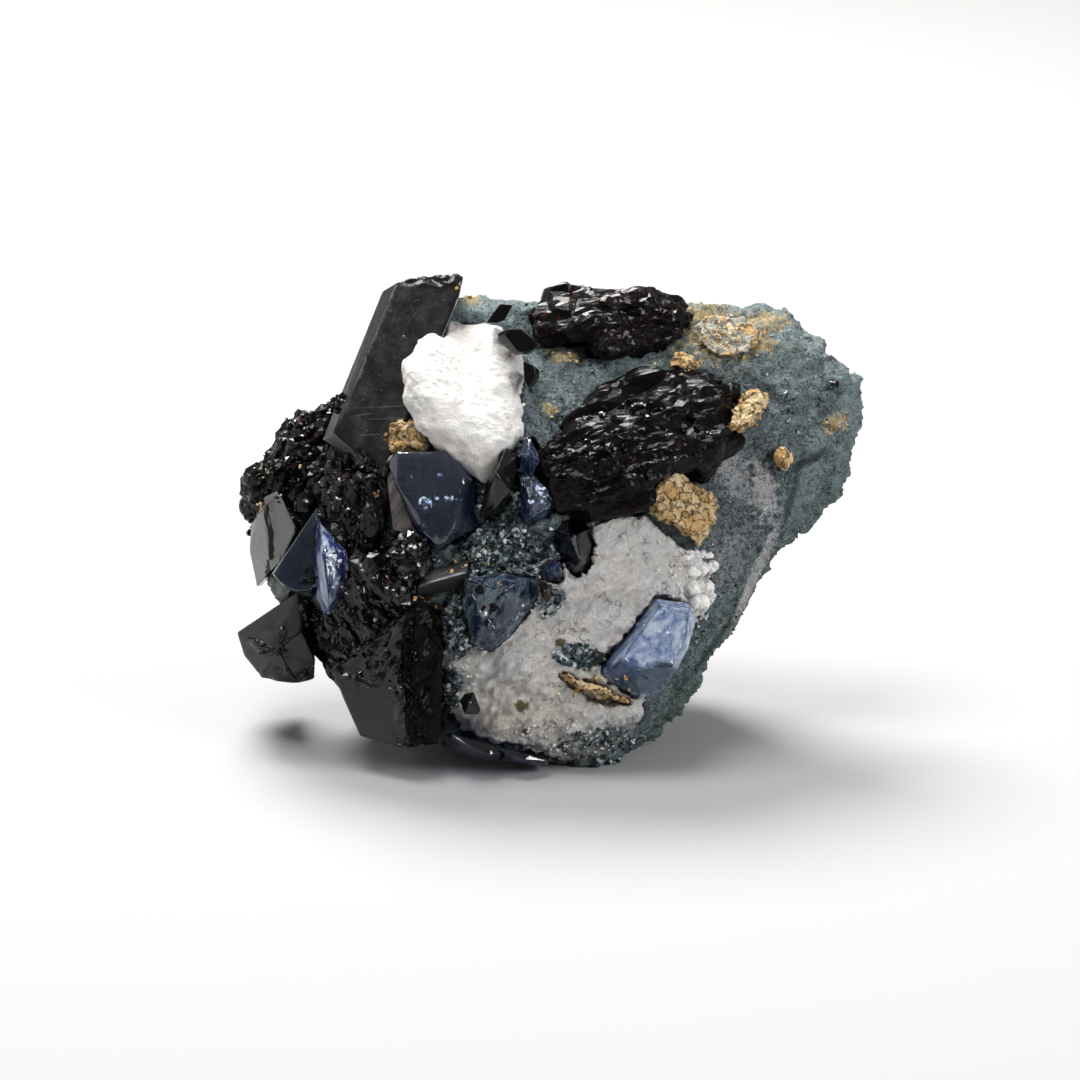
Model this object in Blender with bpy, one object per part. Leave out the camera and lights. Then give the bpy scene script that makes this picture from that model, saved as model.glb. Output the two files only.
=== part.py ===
"""Benitoite and neptunite crystals on natrolite, on a block of blueschist.

Every length is in millimetres until the pieces are done, and MM turns them into metres.
Shapes are laid out on the specimen's face, the side that it shows: u runs to the right,
v runs up and w runs out of the face. The whole face leans back by LEAN, and the block
stands on a flat underside. Pieces that touch keep GAP between them.
"""
import math

import bmesh
import bpy
from mathutils import Matrix, Vector, noise

MM = 0.001
LEAN = math.radians(18)
LIFT = 21.9
GAP = 0.3
HEADROOM = 1.5
NOISE_SEED = 5

ROCK_CENTRE = (1.7, 2.2)
ROCK_FRONT = 12.6
ROCK_BACK = -23.0
RIM_UPPER = -5.0
RIM_LOWER = 6.0
EDGE_THICKNESS = 2.5
ROCK_CELLS = 14
ROCK_GRAINS = {"coarse": (9.0, 0.7), "fine": (3.5, 0.35)}
GROUND_SIZE = 100

ROCK_OUTLINE = [
    (-8.3, 29.0), (-5.6, 26.3), (0.6, 26.5), (11.2, 26.5), (16.8, 26.4), (20.6, 27.1), (24.3, 26.0),
    (28.2, 26.1), (31.6, 23.4), (31.9, 21.3), (36.1, 18.1), (36.7, 15.5), (36.3, 11.0), (35.1, 10.1),
    (34.5, 5.7), (33.4, 3.5), (30.5, 1.4), (27.7, 0.4), (25.8, -3.6), (22.8, -8.1), (20.9, -11.4),
    (17.9, -15.0), (16.0, -18.7), (12.3, -21.6), (9.5, -24.4), (3.4, -25.5), (-2.2, -25.1),
    (-11.2, -22.2), (-18.5, -18.4), (-24.0, -12.0), (-29.5, -8.5), (-30.6, -4.5), (-28.0, 2.0),
    (-24.1, 9.5), (-19.5, 18.0), (-14.5, 26.5),
]

# Broken faces of the rock: a point on the face (u, v, w), then its outward direction.
FRONT_FACES = [
    ((16.0, 19.0, 2.2), (0.06, 0.66, 0.75)),
    ((22.0, 3.0, 6.0), (0.50, -0.10, 0.86)),
    ((24.0, -9.0, 1.0), (0.66, -0.42, 0.62)),
]
BACK_FACES = [
    ((4.0, 6.0, -18.0), (0.12, 0.08, -1.0)),
    ((22.0, 8.0, -11.0), (0.75, 0.05, -0.66)),
    ((-17.0, 0.0, -12.0), (-0.70, -0.05, -0.71)),
    ((4.0, 20.0, -12.5), (0.05, 0.75, -0.66)),
    ((6.0, -12.0, -17.0), (0.15, -0.55, -0.83)),
    ((22.0, 20.0, -9.0), (0.55, 0.60, -0.58)),
    ((-13.0, 18.0, -11.0), (-0.50, 0.55, -0.67)),
]

NEPTUNITE = ("neptunite", (0.022, 0.019, 0.018), 0.22)
BENITOITE = ("benitoite", (0.045, 0.085, 0.30), 0.10)
NATROLITE = ("natrolite", (0.80, 0.78, 0.74), 0.85)
OCHRE = ("ochre", (0.52, 0.33, 0.15), 0.90)
SMOKY = ("smoky", (0.12, 0.11, 0.10), 0.35)
ROCK = ("rock", (0.15, 0.20, 0.21), 0.88)


def empty_scene():
    for leftover in list(bpy.data.objects):
        bpy.data.objects.remove(leftover, do_unlink=True)


def at(u, v, w):
    """A place on the face: out of the face is towards -Y."""
    return Vector((u, -w, v))


def finish(name, kind):
    """The part's own material, with its colour and roughness."""
    label, colour, roughness = kind
    material = bpy.data.materials.new(label + "_" + name)
    material.use_nodes = True
    shader = material.node_tree.nodes["Principled BSDF"]
    shader.inputs["Base Color"].default_value = (*colour, 1)
    shader.inputs["Roughness"].default_value = roughness
    shader.inputs["Metallic"].default_value = 0
    return material


def turn_outwards(mesh):
    bmesh.ops.recalc_face_normals(mesh, faces=mesh.faces)
    if mesh.calc_volume(signed=True) < 0:
        bmesh.ops.reverse_faces(mesh, faces=mesh.faces)


def add_cutter(name, mesh):
    data = bpy.data.meshes.new(name)
    mesh.to_mesh(data)
    cutter = bpy.data.objects.new(name, data)
    cutter.hide_render = True
    cutter.display_type = "WIRE"
    cutters.objects.link(cutter)
    return cutter


def add_socket(name, mesh, headroom):
    """Cutter for the room that a piece needs: its whole shape, larger by the gap.

    The headroom raises its outer side further, clear of the rock's own unevenness.
    """
    bmesh.ops.triangulate(mesh, faces=mesh.faces[:])
    mesh.normal_update()
    shifts = [
        vert.normal * GAP * min(vert.calc_shell_factor(), 2.0)
        + at(0, 0, headroom * max(0.0, -vert.normal.y) ** 2)
        for vert in mesh.verts
    ]
    for vert, shift in zip(mesh.verts, shifts):
        vert.co += shift
    return add_cutter("socket_" + name, mesh)


def add_piece(name, mesh, kind, headroom=0.0):
    """Turns a bmesh into a named object of the specimen, with a cutter for its socket."""
    turn_outwards(mesh)
    data = bpy.data.meshes.new(name)
    mesh.to_mesh(data)
    data.materials.append(finish(name, kind))
    piece = bpy.data.objects.new(name, data)
    specimen.objects.link(piece)
    sockets[name] = [add_socket(name, mesh, headroom)]
    mesh.free()
    return piece


def reach(outline, centre, angle):
    """How far an outline lies from its centre in one direction."""
    ray = Vector((math.cos(angle), math.sin(angle)))
    middle = Vector(centre)
    furthest = 0.0
    for start, end in zip(outline, outline[1:] + outline[:1]):
        a = Vector(start) - middle
        side = Vector(end) - Vector(start)
        turn = ray.cross(side)
        if abs(turn) < 1e-9:
            continue
        along = a.cross(side) / turn
        share = a.cross(ray) / turn
        if along > 0 and 0 <= share <= 1:
            furthest = max(furthest, along)
    return furthest


def polar(u, v, centre):
    return math.hypot(u - centre[0], v - centre[1]), math.atan2(v - centre[1], u - centre[0])


def rim_depth(angle):
    """The rock's edge leans: further out of the face below than above."""
    below = max(0.0, -math.sin(angle))
    return RIM_UPPER + (RIM_LOWER - RIM_UPPER) * below * below


def on_plane(faces, u, v, nearest):
    """Depth of the nearest broken face at one place."""
    depths = [
        (d[0] * (p[0] - u) + d[1] * (p[1] - v)) / d[2] + p[2]
        for p, d in faces
    ]
    return nearest(depths)


def rock_place(u, v):
    """How far towards the edge a place lies, from 0 to 1, and the depth of the edge there."""
    distance, angle = polar(u, v, ROCK_CENTRE)
    return min(1.0, distance / reach(ROCK_OUTLINE, ROCK_CENTRE, angle)), rim_depth(angle)


def rock_front(u, v):
    """Depth of the rock's front surface, where the other pieces sit."""
    share, rim = rock_place(u, v)
    swell = math.sqrt(1 - share ** 2)
    dome = rim + (ROCK_FRONT - rim) * swell
    return max(rim + EDGE_THICKNESS * swell, min(dome, on_plane(FRONT_FACES, u, v, min)))


def rock_back(u, v):
    share, rim = rock_place(u, v)
    swell = math.sqrt(1 - share ** 4)
    bowl = rim + (ROCK_BACK - rim) * swell
    return min(rim - EDGE_THICKNESS * swell, max(bowl, on_plane(BACK_FACES, u, v, max)))


def blown_cube(cells):
    """A cube whose sides have a grid of cells, blown up to a ball of radius 1."""
    mesh = bmesh.new()
    bmesh.ops.create_cube(mesh, size=2)
    bmesh.ops.subdivide_edges(mesh, edges=mesh.edges[:], cuts=cells - 1, use_grid_fill=True)
    for vert in mesh.verts:
        x, y, z = (math.tan(part * math.pi / 4) for part in vert.co)
        vert.co = Vector((x, y, z)).normalized()
    return mesh


def roughen(mesh, grain, depth, start):
    """Breaks up a surface with smooth noise of one grain size and depth.

    The start is a place in the noise, which gives each piece its own unevenness.
    """
    for vert in mesh.verts:
        vert.co += noise.noise_vector(vert.co / grain + Vector((start, 0, 0))) * depth


def lump(outline, centre, cells, height, depth, flatness=2.0, sink=0.5, tilt=0.0):
    """A mass that lies on the rock's front: an outline, a swollen top and a root to a point.

    The edge is sunk below the rock's front, and flatness makes the top broader and its
    sides steeper. The tilt lifts the left side, in millimetres for each millimetre.
    """
    mesh = blown_cube(cells)
    bmesh.ops.delete(mesh, geom=[vert for vert in mesh.verts if vert.co.y > 0.01], context="VERTS")
    for vert in mesh.verts:
        side, up = vert.co.x, vert.co.z
        share = min(1.0, math.hypot(side, up))
        angle = math.atan2(up, side)
        distance = share * reach(outline, centre, angle)
        u = centre[0] + distance * math.cos(angle)
        v = centre[1] + distance * math.sin(angle)
        swell = (1 - share ** flatness) ** (1 / flatness)
        foot = rock_front(u, v) - sink + tilt * max(0.0, centre[0] - u)
        vert.co = at(u, v, foot + swell * (height + sink))
    rim = [edge for edge in mesh.edges if edge.is_boundary]
    underside = bmesh.ops.contextual_create(mesh, geom=rim)["faces"]
    root = bmesh.ops.poke(mesh, faces=underside)["verts"][0]
    root.co = at(*centre, rock_front(*centre) - sink - depth)
    return mesh


def crust(outline, centre, height):
    """A thin lump whose edge stays clear of the rock's own unevenness."""
    return lump(outline, centre, cells=4, height=height, depth=1.2, flatness=3.0, sink=-0.4)


def faceted(corners):
    """A crystal, as the solid whose corners these are."""
    mesh = bmesh.new()
    for corner in corners:
        mesh.verts.new(at(*corner))
    bmesh.ops.convex_hull(mesh, input=mesh.verts[:])
    loose = [vert for vert in mesh.verts if not vert.link_faces]
    bmesh.ops.delete(mesh, geom=loose, context="VERTS")
    bmesh.ops.dissolve_limit(
        mesh, angle_limit=math.radians(1), verts=mesh.verts[:], edges=mesh.edges[:]
    )
    return mesh


def flat_face(outline, level, side=0.0, up=0.0):
    """Corners (u, v, w) of one flat face, which rises by side and by up for each millimetre."""
    return [(u, v, level + side * u + up * v) for u, v in outline]


def largest_body(mesh):
    """Drops the crumbs that a cut leaves, and keeps the largest body."""
    unseen = set(mesh.faces)
    bodies = []
    while unseen:
        body = {unseen.pop()}
        front = list(body)
        while front:
            near = {face for edge in front.pop().edges for face in edge.link_faces} & unseen
            unseen -= near
            body |= near
            front += near
        bodies.append(body)
    bodies.sort(key=len)
    crumbs = [face for body in bodies[:-1] for face in body]
    bmesh.ops.delete(mesh, geom=crumbs, context="FACES")


def boxes_meet(a, b):
    for axis in range(3):
        span_a = [vert.co[axis] for vert in a.data.vertices]
        span_b = [vert.co[axis] for vert in b.data.vertices]
        if min(span_a) > max(span_b) or min(span_b) > max(span_a):
            return False
    return True


def apply_modifiers(piece):
    """Makes the modified shape the piece's own mesh, as one body of triangles."""
    bpy.context.view_layer.update()
    shaped = piece.evaluated_get(bpy.context.evaluated_depsgraph_get())
    mesh = bmesh.new()
    mesh.from_mesh(shaped.data)
    piece.modifiers.clear()
    bmesh.ops.triangulate(mesh, faces=mesh.faces[:])
    largest_body(mesh)
    mesh.to_mesh(piece.data)
    mesh.free()


def combine(piece, other, operation):
    cut = piece.modifiers.new(operation.title(), "BOOLEAN")
    cut.operation = operation
    cut.object = other
    apply_modifiers(piece)


def make_room(piece, neighbours):
    """Cuts a socket in a piece for each neighbour that it meets."""
    for neighbour in neighbours:
        for socket in sockets[neighbour.name]:
            if boxes_meet(piece, socket):
                combine(piece, socket, "DIFFERENCE")


def weld(piece, other):
    """Joins a crystal grown into another one to it, as one solid."""
    combine(piece, other, "UNION")
    sockets[piece.name] += sockets.pop(other.name)
    bpy.data.objects.remove(other, do_unlink=True)


def rock():
    """The block that carries everything, cut flat where it stands."""
    mesh = blown_cube(ROCK_CELLS)
    for vert in mesh.verts:
        side, out, up = vert.co.x, -vert.co.y, vert.co.z
        angle = math.atan2(up, side)
        distance = min(1.0, math.hypot(side, up)) * reach(ROCK_OUTLINE, ROCK_CENTRE, angle)
        u = ROCK_CENTRE[0] + distance * math.cos(angle)
        v = ROCK_CENTRE[1] + distance * math.sin(angle)
        vert.co = at(u, v, rock_front(u, v) if out > 0 else rock_back(u, v))
    bmesh.ops.smooth_vert(
        mesh, verts=mesh.verts[:], factor=0.5, use_axis_x=True, use_axis_y=True, use_axis_z=True
    )
    for place, (grain, depth) in enumerate(ROCK_GRAINS.values()):
        roughen(mesh, grain, depth, start=20 * place)
    block = add_piece("matrix", mesh, ROCK)
    combine(block, ground(), "DIFFERENCE")
    return block


def ground():
    """A block below the level that the specimen stands on, which trims its underside flat."""
    mesh = bmesh.new()
    bmesh.ops.create_cube(mesh, size=GROUND_SIZE)
    bmesh.ops.translate(mesh, verts=mesh.verts, vec=(0, 0, -GROUND_SIZE / 2 - LIFT))
    bmesh.ops.rotate(mesh, verts=mesh.verts, matrix=Matrix.Rotation(LEAN, 3, "X"))
    return add_cutter("ground", mesh)


def natrolites():
    """Two white masses: a mound between the neptunites, and the wide lower field."""
    mound = [
        (-10.1, 24.4), (-4.2, 23.9), (-2.2, 21.8), (-1.7, 18.5), (-2.3, 15.0), (-1.6, 12.4),
        (-3.3, 9.4), (-6.2, 6.0), (-9.8, 9.1), (-12.9, 11.4), (-15.1, 16.1), (-15.2, 19.4),
        (-12.9, 22.7),
    ]
    field = [
        (5.7, 2.4), (11.6, 3.1), (13.6, 0.8), (18.2, -1.8), (19.4, -3.4), (18.8, -6.5), (16.4, -11.1),
        (13.8, -14.4), (11.6, -17.1), (11.2, -20.0), (10.4, -22.4), (7.0, -24.2), (2.4, -24.4),
        (-4.9, -22.4), (-9.7, -21.0), (-11.2, -17.5), (-11.1, -8.5), (-9.9, -6.0), (-3.9, -3.5),
        (2.2, -1.5),
    ]
    mound_mesh = lump(mound, (-8.7, 15.8), cells=6, height=3.6, depth=4.0, tilt=0.8)
    roughen(mound_mesh, grain=3.0, depth=0.35, start=40)
    upper = add_piece("natrolite_upper", mound_mesh, NATROLITE, HEADROOM)
    field_mesh = lump(field, (2.5, -11.0), cells=8, height=1.5, depth=5.0, flatness=6.0)
    roughen(field_mesh, grain=4.0, depth=0.45, start=45)
    lower = add_piece("natrolite_lower", field_mesh, NATROLITE, HEADROOM)
    return [upper, lower]


def neptunite_prism():
    """The long dark prism at the upper left: one flat front face and a chamfered long edge."""
    front = [
        (-22.8, 11.9), (-20.2, 9.9), (-17.2, 6.8), (-15.3, 12.2), (-9.1, 27.0), (-8.7, 29.2),
        (-9.6, 29.8), (-14.3, 29.2), (-15.9, 28.7), (-16.6, 27.4),
    ]
    corners = flat_face(front, 12.9, up=-0.387) + [
        (-24.1, 11.1, 5.6), (-17.6, 27.8, -0.8), (-23.6, 12.1, -1.0), (-17.5, 27.9, -6.0),
        (-9.0, 29.3, -6.0), (-15.7, 11.2, 0.0),
    ]
    return add_piece("neptunite_prism", faceted(corners), NEPTUNITE)


def neptunite_blocks():
    """The smooth-faced crystals on the left side and at the lower left."""
    left_plate = [
        (-31.0, 4.7, 0.0), (-29.4, 5.4, 2.0), (-28.5, 4.1, 3.0), (-27.1, 1.2, 4.0),
        (-28.9, -2.3, 3.0), (-30.1, -3.4, 1.5), (-29.9, 1.6, 1.0), (-32.4, 1.8, -3.0),
        (-31.8, -5.2, -3.0), (-32.6, -1.1, -3.0), (-31.5, 4.8, -8.0), (-28.3, 2.3, -8.0),
        (-31.5, -5.1, -8.0),
    ]
    lower_left = [
        (-33.9, -10.4, -1.0), (-27.1, -5.9, 2.5), (-26.0, -6.6, 3.0), (-26.6, -10.1, 4.5),
        (-25.1, -13.4, 3.5), (-25.3, -15.4, 1.0), (-27.0, -15.9, 1.0), (-31.1, -15.3, 0.5),
        (-33.1, -12.9, -0.5), (-29.2, -12.2, 4.0), (-32.4, -10.9, -9.0), (-27.6, -8.0, -10.0),
        (-27.6, -14.4, -10.0), (-30.8, -13.9, -9.0),
    ]
    smooth_side = [
        (-22.9, -14.4), (-20.0, -15.3), (-15.9, -16.9), (-14.7, -19.0), (-14.4, -21.0),
        (-15.2, -22.7), (-19.8, -21.6), (-21.6, -17.6),
    ]
    lower_block = flat_face(smooth_side, 24.6, side=0.6, up=0.15) + [
        (-13.8, -7.7, 13.5), (-12.6, -6.4, 13.0), (-10.9, -12.1, 13.0), (-11.3, -16.5, 12.5),
        (-10.9, -22.4, 11.0), (-21.2, -16.8, 2.0), (-15.6, -22.3, 3.0), (-11.7, -21.7, 3.0),
        (-12.8, -8.9, 4.0),
    ]
    return [
        add_piece("neptunite_left_plate", faceted(left_plate), NEPTUNITE),
        add_piece("neptunite_lower_left", faceted(lower_left), NEPTUNITE),
        add_piece("neptunite_lower_block", faceted(lower_block), NEPTUNITE),
    ]


def neptunite_masses():
    """Rough, ropy neptunite: two masses on top, and four down the left side."""
    top = [
        (-1.2, 24.1), (0.0, 26.5), (2.9, 28.4), (8.4, 28.3), (10.5, 27.3), (14.7, 27.7), (16.9, 25.8),
        (16.7, 24.1), (11.2, 21.3), (9.2, 20.8), (6.6, 21.0), (5.2, 22.3), (-0.7, 22.9),
    ]
    centre = [
        (0.1, 8.2), (1.1, 10.5), (5.0, 14.6), (6.7, 16.6), (12.7, 18.2), (14.7, 18.6), (18.7, 18.2),
        (22.2, 17.1), (21.2, 13.5), (21.8, 11.1), (18.2, 6.9), (15.1, 8.0), (12.5, 6.2), (10.3, 3.2),
        (6.7, 2.9), (3.0, 2.4), (1.0, 4.5),
    ]
    left = [
        (-24.1, 11.1), (-21.8, 11.7), (-18.6, 9.8), (-16.9, 7.8), (-16.6, 4.4), (-17.3, 1.0),
        (-18.8, -1.2), (-22.1, -1.3), (-24.2, 2.6), (-25.6, 6.3),
    ]
    edge = [
        (-23.1, 17.1), (-24.5, 16.1), (-26.7, 13.6), (-27.1, 11.3), (-30.6, 9.5), (-32.7, 5.7),
        (-33.0, 3.2), (-31.8, -3.0), (-29.5, -3.0), (-27.1, 0.9), (-25.0, 4.5), (-23.6, 12.0),
        (-22.5, 15.8),
    ]
    lower = [
        (-20.2, -1.8), (-17.4, -1.4), (-15.3, -4.0), (-12.7, -6.3), (-11.4, -8.8), (-11.4, -13.3),
        (-13.5, -17.5), (-17.0, -18.5), (-22.4, -15.2), (-25.8, -12.2), (-25.0, -9.8), (-22.6, -6.9),
        (-21.6, -4.4),
    ]
    knob = [
        (-14.4, 1.4), (-12.7, -0.2), (-12.8, -3.6), (-14.3, -5.2), (-16.2, -3.2), (-16.2, 0.0),
    ]
    shapes = {
        "neptunite_top": lump(top, (8.0, 25.0), cells=6, height=3.6, depth=2.5, flatness=3.0),
        "neptunite_centre": lump(centre, (11.5, 11.0), cells=6, height=3.2, depth=3.0, flatness=3.0),
        "neptunite_left_mass": lump(left, (-20.8, 5.2), cells=6, height=3.6, depth=3.0, flatness=3.0),
        "neptunite_left_edge": lump(edge, (-28.4, 6.0), cells=6, height=5.0, depth=4.5, flatness=3.0),
        "neptunite_lower_mass": lump(lower, (-17.8, -10.0), cells=6, height=3.8, depth=3.0, flatness=3.0),
        "neptunite_knob": lump(knob, (-14.6, -1.8), cells=4, height=4.6, depth=3.0),
    }
    for order, mesh in enumerate(shapes.values()):
        roughen(mesh, grain=2.6, depth=0.7, start=60 + order)
    return [add_piece(name, mesh, NEPTUNITE, HEADROOM) for name, mesh in shapes.items()]


def neptunite_smalls():
    """Small separate prisms and chips on the natrolite and the rock."""
    crystals = {
        "neptunite_chip_top": flat_face(
            [(-4.4, 26.2), (-3.1, 26.1), (-4.0, 24.5), (-4.9, 24.2), (-5.9, 24.2)], 4.4
        ) + [(-4.5, 25.8, 0.0), (-5.2, 24.5, 0.0)],
        "neptunite_chip_upper": flat_face(
            [(-3.9, 22.8), (-3.4, 23.3), (-2.2, 23.3), (-0.1, 21.6), (-1.1, 20.9), (-2.4, 20.9)], 7.8
        ) + [
            (-4.6, 22.8, 6.6), (-4.6, 22.1, 6.6), (-3.7, 23.4, 6.4), (-2.2, 23.4, 6.4),
            (0.0, 21.6, 6.6), (-1.1, 20.7, 6.6), (-2.7, 20.6, 6.8), (-2.8, 22.3, 2.0),
            (-1.1, 21.4, 3.0),
        ],
        "neptunite_chip_middle": flat_face(
            [(-1.8, 19.7), (-0.7, 19.2), (-0.6, 18.2), (-1.3, 16.9), (-1.7, 17.9)], 9.0
        ) + [
            (-0.1, 18.7, 8.0), (-0.2, 17.9, 8.0), (-0.7, 17.1, 8.0), (-1.4, 16.8, 8.0),
            (-1.0, 18.5, 5.0),
        ],
        "neptunite_spike": [
            (-6.7, 2.4, 12.5), (-5.7, 6.0, 13.5), (-3.8, 10.0, 13.0), (-2.4, 9.3, 12.5),
            (-2.5, 7.8, 12.5), (-3.0, 5.3, 13.0), (-4.4, 3.3, 13.5), (-5.3, 2.5, 12.5),
            (-4.8, 7.3, 16.0), (-3.3, 5.4, 15.0), (-4.8, 3.7, 15.0), (-3.9, 9.4, 8.0),
            (-6.1, 2.8, 8.0), (-3.1, 5.5, 8.0),
        ],
        "neptunite_twin_prism": [
            (-13.6, -5.4, 12.5), (-12.5, -3.5, 12.0), (-7.8, -2.2, 11.5), (-8.0, -3.6, 12.0),
            (-8.4, -5.1, 11.5), (-13.5, -6.4, 12.0), (-13.2, -5.0, 14.0), (-8.1, -3.6, 14.0),
            (-13.3, -5.5, 7.0), (-8.2, -3.9, 7.0),
        ],
        "neptunite_chip_lower": [
            (-8.7, -17.7, 14.0), (-8.2, -16.9, 14.0), (-7.3, -16.7, 14.5), (-6.6, -18.6, 14.5),
            (-6.8, -19.0, 14.5), (-8.2, -19.0, 14.0), (-7.7, -17.8, 16.0), (-7.7, -18.2, 11.0),
        ],
        "neptunite_chip_field": [
            (-0.1, -4.9, 15.0), (0.3, -4.5, 15.0), (0.9, -5.0, 15.5), (1.2, -6.1, 15.5),
            (1.0, -6.7, 15.0), (0.5, -6.7, 15.0), (0.5, -5.6, 17.0), (0.6, -5.6, 12.0),
        ],
    }
    return [add_piece(name, faceted(corners), NEPTUNITE) for name, corners in crystals.items()]


def benitoites():
    """The blue crystals, each with its own faces."""
    crystals = {
        "benitoite_upper": flat_face(
            [(-15.6, 9.5), (-10.5, 9.5), (-7.9, 6.6), (-15.7, 6.2), (-13.3, 2.9), (-10.4, 3.0)],
            13.9, up=-0.14,
        ) + flat_face(
            [(-13.2, 2.4), (-12.9, 0.9), (-11.3, -0.5), (-10.4, -0.1), (-9.7, 1.2), (-9.9, 2.5)],
            13.1, up=0.10,
        ) + [
            (-16.7, 8.6, 11.6), (-15.7, 9.7, 12.1), (-10.4, 9.7, 12.1), (-9.0, 8.4, 12.1),
            (-7.4, 6.6, 11.5), (-7.2, 5.4, 11.5), (-15.5, 5.6, 12.6), (-14.3, 3.1, 12.6),
            (-13.4, 0.9, 12.2), (-12.1, -0.4, 11.8), (-11.2, -0.7, 11.8), (-10.1, -0.3, 11.8),
            (-7.3, 1.3, 10.8), (-9.3, 0.8, 11.8), (-15.6, 6.7, 5.0), (-8.3, 7.8, 5.0),
            (-7.8, 1.7, 5.0), (-12.2, 0.6, 5.0),
        ],
        "benitoite_left": flat_face(
            [(-24.6, 3.6), (-29.4, -3.7), (-28.9, -4.4), (-28.0, -5.1), (-26.8, -5.6), (-25.5, -5.5),
             (-24.9, -4.9), (-25.0, -1.1), (-24.8, 2.0)],
            12.0, side=0.13,
        ) + [
            (-29.6, -3.7, 7.4), (-28.1, -5.3, 7.6), (-26.8, -5.8, 7.8), (-25.4, -5.7, 8.0),
            (-25.4, 1.1, 0.0), (-27.4, -3.9, 0.0), (-25.4, -5.0, 0.0),
        ],
        "benitoite_left_pale": [
            (-24.4, 2.1, 9.0), (-24.7, -2.2, 9.6), (-24.6, -6.7, 9.2), (-23.9, -8.3, 9.2),
            (-23.1, -8.2, 9.6), (-23.9, -1.5, 11.0), (-23.4, -5.5, 11.0), (-23.3, -7.4, 10.4),
            (-23.0, -0.9, 10.4), (-21.3, -1.2, 9.6), (-21.1, -3.4, 9.8), (-21.5, -5.2, 9.8),
            (-22.4, -5.8, 10.2), (-22.8, -7.1, 9.8), (-23.4, -1.2, 2.0), (-22.0, -2.2, 3.0),
            (-23.6, -6.7, 3.0),
        ],
        "benitoite_deep_blue": [
            (1.5, 1.4, 12.0), (2.7, 2.2, 12.5), (4.6, 2.3, 12.0), (5.4, 1.2, 13.0),
            (5.8, -0.7, 13.0), (5.6, -2.3, 13.0), (5.1, -3.6, 12.5), (4.2, -4.6, 12.0),
            (3.1, -4.3, 12.0), (2.5, -2.4, 13.0), (1.8, -0.9, 13.0), (3.8, 0.5, 16.0),
            (4.4, -2.2, 15.5), (3.3, 0.0, 6.0), (4.4, -2.2, 6.0),
        ],
        "benitoite_small": [
            (0.1, -3.3, 13.5), (0.9, -2.2, 13.5), (2.2, -2.3, 14.0), (2.5, -3.5, 14.0),
            (2.2, -4.6, 13.5), (0.5, -4.6, 13.5), (1.4, -3.4, 16.0), (1.3, -3.3, 9.0),
        ],
        "benitoite_rough": [
            (-8.3, -4.2, 13.0), (-4.4, -3.5, 14.0), (-1.5, -4.2, 14.5), (-0.2, -4.4, 13.5),
            (-0.4, -6.8, 13.5), (-2.0, -8.8, 14.0), (-3.3, -10.7, 14.5), (-4.5, -11.6, 14.0),
            (-5.6, -12.4, 13.5), (-7.4, -11.5, 13.5), (-8.6, -7.1, 13.0), (-3.8, -5.5, 16.5),
            (-6.0, -8.7, 16.0), (-4.4, -10.4, 15.5), (-4.4, -6.7, 6.0), (-6.7, -10.0, 7.0),
        ],
        "benitoite_lower_right": flat_face(
            [(13.2, -7.2), (16.4, -8.0), (16.0, -11.2), (14.6, -13.7), (10.0, -14.0), (8.7, -13.4)],
            15.6, side=-0.22, up=-0.05,
        ) + [
            (12.7, -6.4, 11.0), (14.4, -6.9, 11.6), (16.7, -7.0, 10.0), (17.2, -8.6, 10.0),
            (16.4, -12.0, 10.8), (15.0, -14.6, 11.4), (13.5, -16.8, 10.8), (11.2, -17.5, 10.8),
            (6.6, -15.2, 11.2), (6.5, -14.2, 11.4), (7.8, -13.4, 12.6), (13.4, -8.9, 4.0),
            (8.9, -15.6, 4.0), (15.0, -12.2, 4.0),
        ],
        "benitoite_base_left": [
            (-10.0, -21.3, 11.0), (-5.3, -22.6, 11.0), (-4.2, -23.4, 10.5), (-4.6, -24.4, 9.0),
            (-6.4, -24.3, 9.0), (-9.8, -23.1, 9.5), (-8.2, -22.4, 12.0), (-5.5, -23.6, 11.5),
            (-9.4, -22.0, 5.0), (-5.6, -23.6, 5.0),
        ],
        "benitoite_base_right": [
            (-4.4, -23.0, 11.0), (-1.1, -23.7, 11.0), (0.9, -24.4, 10.0), (0.8, -25.1, 8.5),
            (-2.5, -24.7, 8.5), (-4.4, -24.3, 9.0), (-1.7, -24.2, 11.5), (-3.9, -23.9, 5.0),
            (0.0, -24.5, 5.0),
        ],
    }
    blade_upper = [
        (-1.5, 11.8, 12.0), (-1.0, 11.2, 13.0), (0.1, 8.7, 13.5), (-1.0, 6.8, 13.5),
        (-2.3, 7.1, 12.5), (-2.5, 9.3, 12.0), (-1.2, 9.3, 15.0), (-0.6, 10.0, 6.0),
        (-1.7, 7.8, 6.0),
    ]
    blade_lower = [
        (-2.3, 7.0, 13.0), (-0.7, 7.2, 13.5), (0.5, 5.9, 13.0), (2.1, 4.6, 12.5),
        (2.2, 3.4, 12.0), (1.0, 2.4, 12.5), (-1.4, 1.6, 13.0), (-2.1, 2.2, 13.0),
        (-1.1, 4.4, 15.5), (0.7, 5.6, 14.5), (1.8, 3.8, 13.5), (-1.0, 2.4, 14.8),
        (0.6, 3.3, 6.0), (-1.7, 3.3, 6.0), (-1.1, 6.1, 6.0),
    ]
    blade = add_piece("benitoite_blade", faceted(blade_upper), BENITOITE)
    weld(blade, add_piece("blade_lower", faceted(blade_lower), BENITOITE))
    others = [add_piece(name, faceted(corners), BENITOITE) for name, corners in crystals.items()]
    return [blade] + others


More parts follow.
